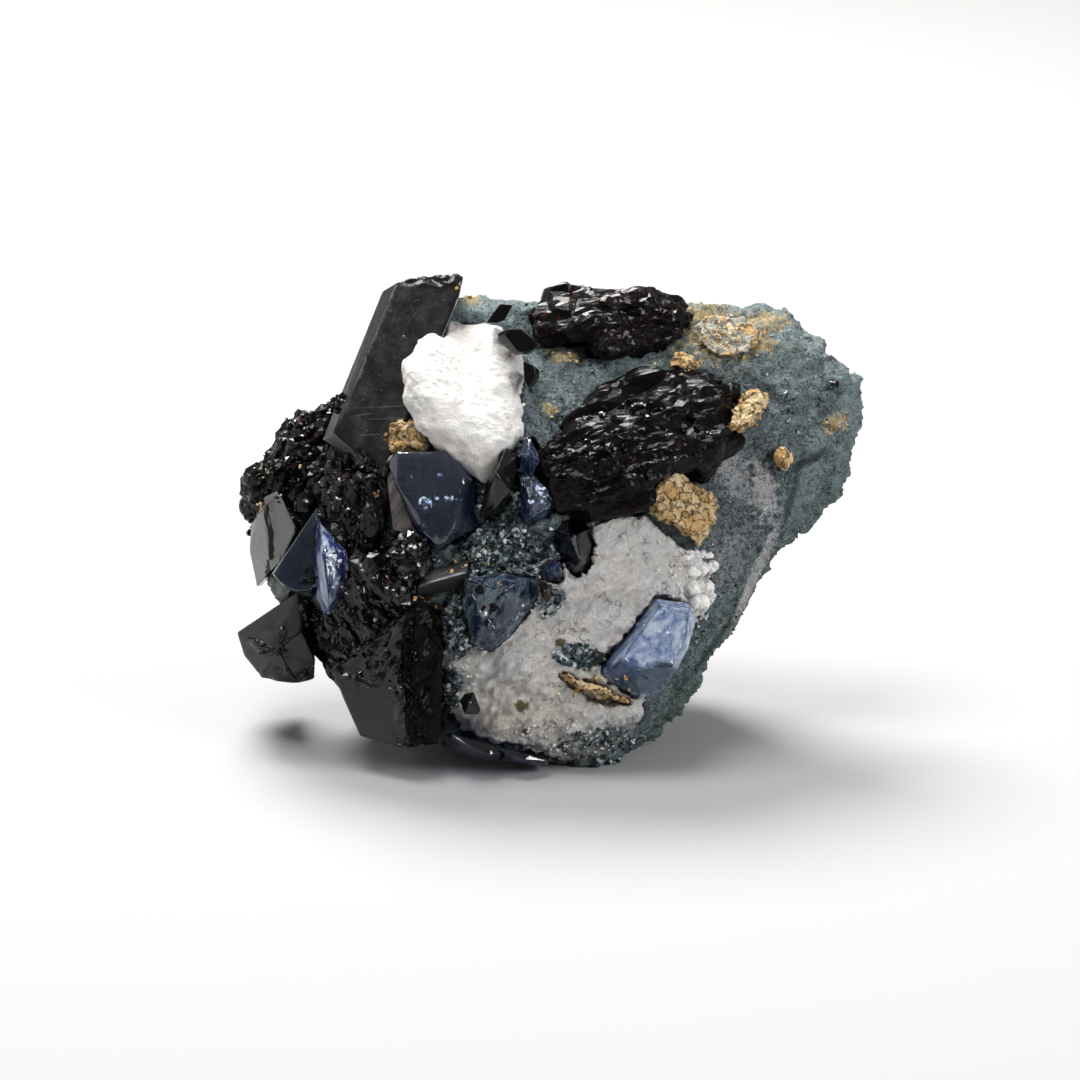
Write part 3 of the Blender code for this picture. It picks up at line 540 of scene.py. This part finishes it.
field = skin_of("natrolite_lower", "natrolite_field", 0.24, 0.1)
relief(field, "CLOUDS", 4.0, 1.2, noise_depth=3)
relief(field, "VORONOI", 3.0, 0.5, 2, 40, weight_1=-1.0, weight_2=1.0)
relief(field, "CLOUDS", 1.6, 1.1, 2.0, 40, noise_type="HARD_NOISE", noise_depth=3)
relief(field, "CLOUDS", 0.5, 0.28, 1.5, 40, noise_depth=2)
settle(field, plaster, ["natrolite_lower"])


# Neptunite is black and glassy, with deep red where it is thin. The prisms have flat faces
# with fine grooves along their length, scratches, and ends that are broken off rough.
NEPTUNITE_BLACK = (0.0045, 0.0040, 0.0040, 1)
NEPTUNITE_RED = (0.075, 0.012, 0.006, 1)
NEPTUNITE_BROWN = (0.055, 0.026, 0.012, 1)
SCRATCH_GREY = (0.12, 0.12, 0.13, 1)


def neptunite_finish(name, turn, low, high, depth, shine=0.5, red_share=0.3, scratches=()):
    """Glassy black, grooved along one direction, with its roughness between low and high.

    Scratches are thin ovals of the picture, each with its turn in degrees.
    """
    material, tree, shader = new_material(name)
    shader.inputs["IOR"].default_value = 1.70
    shader.inputs["Specular IOR Level"].default_value = shine
    place = face_place(tree)
    grooves = grains(tree, drawn_out(tree, place, turn, 14), 0.35, 3.0)
    smear = grains(tree, place, 1.8, 6.0, 0.65)
    pits = between(tree, grains(tree, place, 0.35, 4.0, 0.6), 0.62, 0.70)
    red = between(tree, grains(tree, place, 1.0, 4.0, 0.65), 0.60, 0.68)
    colour = blend(tree, times(tree, red, red_share), NEPTUNITE_BLACK, NEPTUNITE_RED)
    colour = blend(tree, times(tree, pits, red_share), colour, NEPTUNITE_BROWN)
    for oval, angle in scratches:
        scratch = on_patch(tree, place, oval, angle, 0.3, 0.8, 0.5)
        colour = blend(tree, times(tree, scratch, 0.3), colour, SCRATCH_GREY)
    coloured(tree, shader, colour)
    tree.links.new(between(tree, smear, 0.35, 0.65, low, high), shader.inputs["Roughness"])
    fine = times(tree, grains(tree, place, 0.6, 4.0), 0.6)
    bumped(tree, shader, plus(tree, plus(tree, grooves, fine), times(tree, pits, -0.4)), depth)
    return material


def facets_of(node, name, edge, finer=2, wear=0.02):
    """A crystal with slightly worn edges and faint unevenness in its faces."""
    piece = copy_of(node, name)
    bpy.ops.object.mode_set(mode="EDIT")
    bpy.ops.mesh.select_all(action="SELECT")
    bpy.ops.mesh.dissolve_limited(angle_limit=math.radians(1.0))
    bpy.ops.mesh.select_all(action="SELECT")
    bpy.ops.transform.shrink_fatten(value=0.1 * MM)
    bpy.ops.mesh.bevel(offset=edge * MM, segments=2, affect="EDGES")
    bpy.ops.mesh.select_all(action="SELECT")
    bpy.ops.mesh.quads_convert_to_tris()
    bpy.ops.object.mode_set(mode="OBJECT")
    splitting = piece.modifiers.new("finer", "SUBSURF")
    splitting.subdivision_type = "SIMPLE"
    splitting.levels = finer
    splitting.render_levels = finer
    apply_modifiers(piece)
    relief(piece, "CLOUDS", 1.5, wear, noise_depth=2)
    return piece


PRISM_SCRATCHES = (
    ((390, 408, 26, 0.9), 3), ((366, 416, 10, 0.9), 8), ((386, 420, 14, 0.8), 2),
    ((372, 436, 12, 0.8), 4), ((420, 372, 14, 0.8), 4), ((362, 378, 1.5, 1.5), 0),
    ((380, 376, 1.2, 1.2), 0),
)
for node, turn, shine, finer, spots in (
    ("neptunite_prism", 68, 0.32, 4, [(372, 472, 44, 14)]),
    ("neptunite_left_plate", 80, 1.2, 3, None),
    ("neptunite_lower_left", 30, 0.28, 3, [(272, 640, 20, 16), (290, 672, 26, 8)]),
    ("neptunite_lower_block", 60, 0.28, 4, [(382, 632, 70, 44), (416, 672, 20, 82)]),
):
    piece = facets_of(node, node + "_crystal", 0.14, finer)
    scratches = ()
    if node == "neptunite_prism":
        scratches = PRISM_SCRATCHES
        relief(piece, "CLOUDS", 1.0, 0.7, 1.5, turn, noise_depth=2, spots=[(438, 278, 40, 8)])
    if spots:
        relief(piece, "CLOUDS", 2.4, 1.4, 1.5, turn, noise_depth=2, spots=spots)
        relief(piece, "VORONOI", 0.9, 0.7, 2, turn, distance_metric="MANHATTAN", spots=spots)
        relief(piece, "CLOUDS", 0.5, 0.3, 2, turn, noise_type="HARD_NOISE", noise_depth=2, spots=spots)
    finish = neptunite_finish(node, turn, 0.14, 0.30, 0.014, shine, 0.1, scratches)
    settle(piece, finish, [node])
# Dull black with hardly any shine: painted shade on the face of the lower block that turns into the
# crevice, and dark marks on the left plate and splinters sealed in the crystals.
dull_black_and_shade = neptunite_finish("neptunite_dull_and_shade", 60, 0.2, 0.4, 0.03, 0.05, 0.1)
repaint(piece, dull_black_and_shade, [(426, 670, 22, 90)])
plate = bpy.data.objects["neptunite_left_plate_crystal"]
repaint(plate, dull_black_and_shade, [(267, 514, 3, 9), (271, 532, 3, 11), (272, 552, 3, 12), (268, 573, 3, 12)])
chip_black = neptunite_finish("neptunite_chips", 40, 0.05, 0.12, 0.02, 0.28, 0.1)
twin_grey = neptunite_finish("neptunite_twin", 16, 0.35, 0.5, 0.05, 0.8, 0.3)
for node in (
    "neptunite_spike", "neptunite_twin_prism", "neptunite_chip_top", "neptunite_chip_upper",
    "neptunite_chip_middle", "neptunite_chip_lower", "neptunite_chip_field",
):
    finish = twin_grey if node == "neptunite_twin_prism" else chip_black
    settle(facets_of(node, node + "_crystal", 0.06), finish, [node])


# The rough neptunite is a mass of small crystals grown together, ropy and splintered, that
# glitters in many tiny faces. The top and centre masses are smoother outside their ropy spots.
ROPY_SPOTS = {"neptunite_top": [(640, 325, 50, 34)], "neptunite_centre": [(605, 465, 70, 40)]}
for node, turn, ropes, red_share, shine in (
    ("neptunite_top", 8, 3.0, 0.7, 0.10), ("neptunite_centre", 25, 4.0, 0.15, 0.06),
    ("neptunite_left_mass", 110, 1.8, 0.5, 0.16), ("neptunite_left_edge", 60, 1.6, 0.8, 0.14),
    ("neptunite_lower_mass", 125, 2.0, 0.5, 0.22), ("neptunite_knob", 30, 1.2, 1.0, 0.35),
):
    mass = skin_of(node, node + "_mass", 0.2, 0.15)
    relief(mass, "CLOUDS", 3.4, 2.4, 1.5, turn, noise_depth=1)
    relief(mass, "VORONOI", 2.0, 1.0, ropes, turn, distance_metric="MANHATTAN")
    ropy = ROPY_SPOTS.get(node)
    relief(mass, "VORONOI", 1.1, 0.7, ropes, turn, distance_metric="MANHATTAN", spots=ropy)
    relief(mass, "CLOUDS", 1.2, 0.5, 2.5, turn - 20, noise_type="HARD_NOISE", spots=ropy)
    thinning = mass.modifiers.new("thinning", "DECIMATE")
    thinning.ratio = 0.22
    apply_modifiers(mass)
    finish = neptunite_finish(node, turn, 0.05, 0.28, 0.03, shine, red_share)
    settle(mass, finish, [node], flat=True)


# Benitoite is clear blue glass-like crystal, nearly black where it is deep. The faces are
# flat with small dimples. Veils of tiny cracks make some crystals pale and cloudy.
DEEP_BLUE = (0.05, 0.25, 0.72, 1)


def benitoite_finish(
    name, clearness, density, body, cloud, streaks=(90, 3), cloudy=(0.50, 0.62), shine=0.16, shades_and_glints=()
):
    """Clear crystal that absorbs with depth; its veils scatter in the colour of the cloud.

    Shades and glints are ovals of the picture, each with its turn in degrees, its share and its colour:
    painted shade where the colour is dark and painted glints where it is pale.
    """
    material, tree, shader = new_material(name)
    shader.inputs["IOR"].default_value = 1.76
    shader.inputs["Specular IOR Level"].default_value = shine
    shader.inputs["Transmission Weight"].default_value = clearness
    absorption = wired(tree, "VolumeAbsorption", {"Color": DEEP_BLUE, "Density": density})
    tree.links.new(absorption.outputs[0], tree.nodes["Material Output"].inputs["Volume"])
    place = face_place(tree)
    veils = grains(tree, drawn_out(tree, place, *streaks), 0.9, 6.0, 0.65, 0.5)
    share = between(tree, veils, *cloudy)
    colour = blend(tree, share, body, cloud)
    for oval, turn, amount, tone in shades_and_glints:
        shaded = on_patch(tree, place, oval, turn, 0.6, 1.5, 0.15)
        colour = blend(tree, times(tree, shaded, amount), colour, tone)
    coloured(tree, shader, colour)
    tree.links.new(between(tree, veils, 0.45, 0.7, 0.03, 0.16), shader.inputs["Roughness"])
    dimples = cells(tree, place, 0.7)
    bumped(tree, shader, plus(tree, times(tree, dimples, 0.4), grains(tree, place, 1.5, 3.0)), 0.05)
    return material


# A dark lining for the faces set into the rock: painted shade of the sockets.
socket_shade, tree, shader = new_material("socket_shade")
shader.inputs["Roughness"].default_value = 0.9
place = face_place(tree)
clay = grains(tree, place, 0.6)
coloured(tree, shader, blend(tree, clay, (0.03, 0.04, 0.06, 1), (0.10, 0.13, 0.17, 1)))


def line_socket(piece):
    """The faces of a crystal that turn into the rock get a dark lining, painted shade of its socket."""
    inward = LEAN_BACK @ Vector((0, 1, 0))
    piece.data.materials.append(socket_shade)
    for face in piece.data.polygons:
        if face.normal.dot(inward) > 0.1:
            face.material_index = 1


navy = benitoite_finish("benitoite_navy", 0.97, 160, (0.45, 0.58, 0.85, 1), (0.70, 0.80, 1.0, 1))
deep = benitoite_finish(
    "benitoite_deep", 1.0, 600, (0.30, 0.42, 0.85, 1), (0.40, 0.50, 0.90, 1), shine=0.05
)
hazy = benitoite_finish(
    "benitoite_hazy", 0.7, 420, (0.02, 0.035, 0.10, 1), (0.16, 0.24, 0.42, 1), (70, 3)
)
rough_blue = benitoite_finish(
    "benitoite_rough", 0.5, 420, (0.015, 0.025, 0.06, 1), (0.13, 0.19, 0.24, 1), (60, 2), (0.46, 0.60)
)
fibrous = benitoite_finish(
    "benitoite_fibrous", 0.4, 350, (0.03, 0.05, 0.17, 1), (0.55, 0.66, 0.82, 1), (97, 12), (0.46, 0.62)
)
pale = benitoite_finish(
    "benitoite_pale", 0.35, 350, (0.13, 0.20, 0.40, 1), (0.55, 0.64, 0.80, 1), (45, 1.5), (0.36, 0.62),
    # Painted shade on the lower and left faces, a thin dark band, and two painted glints on the big
    # face.
    shades_and_glints=(
        ((650, 676, 36, 15), 12, 0.85, (0.045, 0.085, 0.12, 1)),
        ((618, 640, 9, 38), -38, 0.75, (0.07, 0.11, 0.22, 1)),
        ((622, 668, 18, 12), 0, 0.8, (0.03, 0.065, 0.18, 1)),
        ((652, 626, 12, 7), 30, 0.35, (0.80, 0.86, 0.95, 1)),
        ((674, 638, 3, 10), -20, 0.4, (0.85, 0.90, 0.97, 1)),
        ((660, 588, 16, 5), 10, 0.7, (0.05, 0.08, 0.15, 1)),
    ),
)
for node, finish in {
    "benitoite_blade": hazy, "benitoite_upper": navy, "benitoite_left": navy,
    "benitoite_left_pale": fibrous, "benitoite_deep_blue": deep, "benitoite_small": hazy,
    "benitoite_rough": rough_blue, "benitoite_lower_right": pale, "benitoite_base_left": deep,
    "benitoite_base_right": deep,
}.items():
    dimpled = finish not in (navy, deep)
    piece = facets_of(node, node + "_crystal", 0.07, 3 if dimpled else 2)
    if dimpled:
        relief(piece, "VORONOI", 0.9, 0.35, 2, 65, weight_1=-1.0, weight_2=1.0)
    settle(piece, finish, [node])
    line_socket(piece)


# The smoky plate is a flat dusky crystal with brown edges, set on end beside the upper
# benitoite. It is dull glass in dark streaks.
SMOKE_DARK = (0.035, 0.030, 0.030, 1)
SMOKE_BROWN = (0.14, 0.12, 0.11, 1)
smoke, tree, shader = new_material("smoky_plate")
shader.inputs["IOR"].default_value = 1.55
place = face_place(tree)
dusk = grains(tree, drawn_out(tree, place, 60, 4), 1.2, 5.0)
coloured(tree, shader, blend(tree, between(tree, dusk, 0.4, 0.65), SMOKE_DARK, SMOKE_BROWN))
tree.links.new(between(tree, dusk, 0.3, 0.7, 0.15, 0.4), shader.inputs["Roughness"])
bumped(tree, shader, dusk, 0.05)
settle(facets_of("smoky_plate", "smoky_plate_crystal", 0.08), smoke, ["smoky_plate"])


# Ochre crusts are iron-stained clay and weathered natrolite: dull, crumbly, cracked like
# dried mud, and dark like holes in the hollows of their grain, which is painted shade.
OCHRE_PALE = (0.82, 0.64, 0.38, 1)
OCHRE_WARM = (0.66, 0.40, 0.15, 1)
OCHRE_DARK = (0.10, 0.055, 0.022, 1)
CRUST_TEAL = (0.05, 0.09, 0.095, 1)
CRUST_PALE = (0.40, 0.47, 0.47, 1)
ochre, tree, shader = new_material("ochre_crust")
shader.inputs["Roughness"].default_value = 0.95
place = face_place(tree)
clay = grains(tree, place, 0.5, 8.0, 0.7)
uneven = swayed(tree, place, 0.9, 3.0, 1.6)
crazing = cells(tree, uneven, 1.5, "DISTANCE_TO_EDGE")
crack = between(tree, plus(tree, crazing, times(tree, clay, 0.50)), 0.32, 0.24)
block = wired(tree, "SeparateColor", {"Color": cells(tree, uneven, 1.5, output="Color")}).outputs["Red"]
tone = plus(tree, times(tree, block, 0.3), times(tree, grains(tree, place, 1.2, 5.0), 0.7))
colour = blend(tree, between(tree, tone, 0.40, 0.60), OCHRE_WARM, OCHRE_PALE)
# Painted shade: dark in the hollows of the grain.
colour = blend(tree, between(tree, clay, 0.40, 0.30), colour, OCHRE_DARK)
colour = blend(tree, times(tree, crack, 0.9), colour, OCHRE_DARK)
teal_side = on_patch(tree, place, (650, 527, 10, 36), 45, 0.8, 0.9)
colour = blend(tree, teal_side, colour, CRUST_TEAL)
mixed_in = on_patch(tree, place, (735, 330, 60, 30), 0, 0.8, 1.2, 0.3)
pocks = between(tree, grains(tree, place, 1.3, 8.0, 0.75), 0.46, 0.52)
colour = blend(tree, times(tree, times(tree, mixed_in, pocks), 0.75), colour, CRUST_PALE)
coloured(tree, shader, colour)
bumped(tree, shader, plus(tree, clay, times(tree, crack, -0.6)), 0.6)
for node in (
    "ochre_plate", "ochre_clod", "ochre_top", "ochre_top_small", "ochre_spot", "ochre_band",
    "ochre_patch",
):
    crust = skin_of(node, node + "_crust", 0.18, 0.1)
    relief(crust, "CLOUDS", 1.8, 1.6, noise_depth=3)
    relief(crust, "VORONOI", 1.4, 0.6, weight_1=-1.0, weight_2=1.0)
    relief(crust, "CLOUDS", 0.7, 0.5, noise_type="HARD_NOISE", noise_depth=2)
    settle(crust, ochre, [node])


# Loose grains lie in the hollows between the crystals: sparkling teal, blue and white grains
# on the rock, white crumbs at the edges of the natrolite, ochre crumbs round the crusts,
# and black splinters of neptunite. They are glued on by fine clay.
def in_picture(across, down):
    """The finished piece seen at a place in the picture, with the place and normal on it."""
    u, v = picture_place(across, down)
    aim = STAND + LEAN_BACK @ (Vector((u, 0, v)) * MM)
    seen = None
    for piece in finished:
        hit, spot, normal, _ = piece.ray_cast(eye.location, (aim - eye.location).normalized())
        if hit and (seen is None or (spot - eye.location).length < seen[3]):
            seen = (piece, spot, normal, (spot - eye.location).length)
    return seen


def strewn(name, spots, size, squash, material, seed, on=None, around=False, out=0.0):
    """Angular grains over ovals of the picture: across, down, half-widths and a count.

    Their size, how flat they are and how far they stand out are in millimetres and shares.
    """
    chance = random.Random(seed)
    ball = bmesh.new()
    bmesh.ops.create_icosphere(ball, subdivisions=2 if around else 1, radius=1)
    shape = [vert.co.copy() for vert in ball.verts]
    faces = [[vert.index for vert in face.verts] for face in ball.faces]
    ball.free()
    points, sides = [], []
    for across, down, wide, high, count in spots:
        for _ in range(count):
            angle, far = chance.uniform(0, 2 * math.pi), math.sqrt(chance.random())
            seen = in_picture(across + wide * far * math.cos(angle), down + high * far * math.sin(angle))
            turn = chance.uniform(0, 6.3)
            turning = Matrix.Rotation(turn, 3, Vector([chance.gauss(0, 1) for _ in "xyz"]))
            radius = MM * size * chance.uniform(0.35, 1.0) ** 1.5
            stretch = Vector([1, chance.uniform(squash, 1), chance.uniform(squash, 1)])
            if seen is None or (on and seen[0] not in on):
                continue
            start = len(points)
            for corner in shape:
                rough = corner if around else corner * chance.uniform(0.75, 1.15)
                middle = seen[1] + seen[2] * (radius * 0.2 + out * MM)
                points.append(middle + turning @ (rough * stretch) * radius)
            sides.extend([[start + index for index in side] for side in faces])
    mesh = bpy.data.meshes.new(name)
    mesh.from_pydata(points, [], sides)
    piece = bpy.data.objects.new(name, mesh)
    bpy.context.scene.collection.objects.link(piece)
    settle(piece, material, flat=not around)


def grain_finish(name, tones, roughness, size=0.5):
    """Each grain takes one of several tones, from cells about as large as the grains."""
    material, tree, shader = new_material(name)
    shader.inputs["Roughness"].default_value = roughness
    place = face_place(tree)
    picks = cells(tree, place, size, output="Color")
    pick = wired(tree, "SeparateColor", {"Color": picks}).outputs["Red"]
    colour = tones[0]
    for step, tone in enumerate(tones[1:], 1):
        edge = step / len(tones)
        colour = blend(tree, between(tree, pick, edge - 0.02, edge + 0.02), colour, tone)
    dusty = between(tree, grains(tree, place, 0.3), 0.4, 0.6, 0.75, 1.0)
    coloured(tree, shader, blend(tree, dusty, (0, 0, 0, 1), colour))
    bumped(tree, shader, grains(tree, place, 0.2), 0.05)
    return material


teal_mix = grain_finish(
    "teal_grains",
    [(0.012, 0.018, 0.024, 1), (0.06, 0.09, 0.10, 1), (0.14, 0.19, 0.20, 1), (0.03, 0.05, 0.09, 1),
     (0.52, 0.58, 0.60, 1), (0.006, 0.008, 0.010, 1), (0.04, 0.055, 0.06, 1)],
    0.14,
)
white_mix = grain_finish("white_crumbs", [NATROLITE_WHITE, NATROLITE_CREAM, (0.55, 0.55, 0.55, 1)], 0.9)
ochre_mix = grain_finish("ochre_crumbs", [OCHRE_PALE, OCHRE_WARM, (0.25, 0.13, 0.05, 1)], 0.9)
strewn(
    "teal_grains",
    [(515, 562, 52, 28, 900), (490, 520, 40, 40, 500), (459, 622, 16, 38, 420), (447, 690, 16, 22, 260),
     (545, 600, 22, 16, 100), (420, 560, 18, 30, 120), (606, 745, 50, 18, 200), (575, 655, 22, 12, 160)],
    0.5, 0.25, teal_mix, 3, on=[rock, field],
)
strewn(
    "rock_grains",
    [(620, 390, 90, 60, 120), (750, 420, 60, 60, 60), (700, 620, 40, 80, 160), (530, 330, 40, 30, 60),
     (790, 380, 60, 60, 60)],
    0.30, 0.3, teal_mix, 4, on=[rock],
)
strewn(
    "white_crumbs",
    [(480, 430, 50, 60, 60), (600, 560, 90, 40, 30), (690, 590, 24, 40, 120), (560, 740, 60, 20, 80),
     (460, 650, 20, 50, 60)],
    0.30, 0.5, white_mix, 5, on=[rock, field],
)
strewn(
    "ochre_crumbs",
    [(728, 336, 46, 26, 60), (676, 362, 26, 14, 20), (748, 412, 18, 20, 16), (784, 458, 11, 13, 14),
     (835, 423, 12, 9, 12), (549, 410, 12, 12, 6), (569, 358, 10, 6, 6), (408, 440, 24, 18, 20),
     (598, 688, 44, 18, 60), (680, 505, 28, 32, 10), (476, 560, 14, 10, 12), (452, 565, 12, 8, 10),
     (466, 290, 12, 10, 8), (425, 599, 12, 4, 14), (436, 606, 3, 3, 3), (404, 336, 6, 7, 3),
     (260, 508, 4, 6, 12), (269, 472, 3, 3, 5), (299, 464, 4, 4, 5), (411, 477, 1, 1, 1),
     (378, 494, 5, 3, 6), (500, 585, 3, 3, 3)],
    0.30, 0.35, ochre_mix, 6,
)
strewn(
    "white_lobes", [(699, 563, 16, 11, 34), (700, 595, 11, 15, 34), (688, 625, 8, 14, 14)],
    1.2, 0.45, white_mix, 7, on=[rock, field], around=True, out=-0.2,
)

crystals = [piece for piece in finished if piece.name.startswith("benitoite")]
# Pale flakes sealed just under the faces of the crystals: veils of inner cracks, and painted glints
# where the crystals sparkle.
veil_and_glint_mix = grain_finish("veil", [(0.75, 0.82, 0.92, 1), (0.45, 0.58, 0.80, 1)], 0.15)
strewn(
    "sealed_veils_and_glints",
    [(426, 504, 9, 4, 9), (440, 500, 22, 3, 14), (540, 496, 14, 8, 16), (650, 630, 26, 18, 14),
     (334, 570, 5, 20, 12), (505, 610, 22, 24, 14), (440, 475, 1, 1, 2), (460, 491, 1, 1, 2)],
    0.5, 0.12, veil_and_glint_mix, 8, on=crystals, out=-0.25,
)
strewn(
    "sealed_splinters",
    [(308, 577, 9, 9, 16), (545, 600, 8, 8, 5), (484, 605, 10, 20, 14), (450, 540, 12, 10, 6)],
    0.8, 0.3, dull_black_and_shade, 9, on=crystals, out=-0.3,
)
strewn(
    "black_splinters",
    [(330, 400, 14, 14, 26), (300, 425, 12, 14, 26), (262, 470, 14, 20, 30), (360, 520, 60, 60, 80),
     (380, 640, 50, 60, 90), (640, 440, 70, 40, 70), (410, 545, 24, 24, 30), (310, 613, 8, 14, 14),
     (468, 545, 10, 12, 16), (296, 480, 30, 30, 40), (834, 383, 3, 3, 5), (570, 772, 14, 5, 14)],
    0.75, 0.3, chip_black, 10,
    on=[piece for piece in finished if piece.name.startswith("neptunite")] + [rock],
)
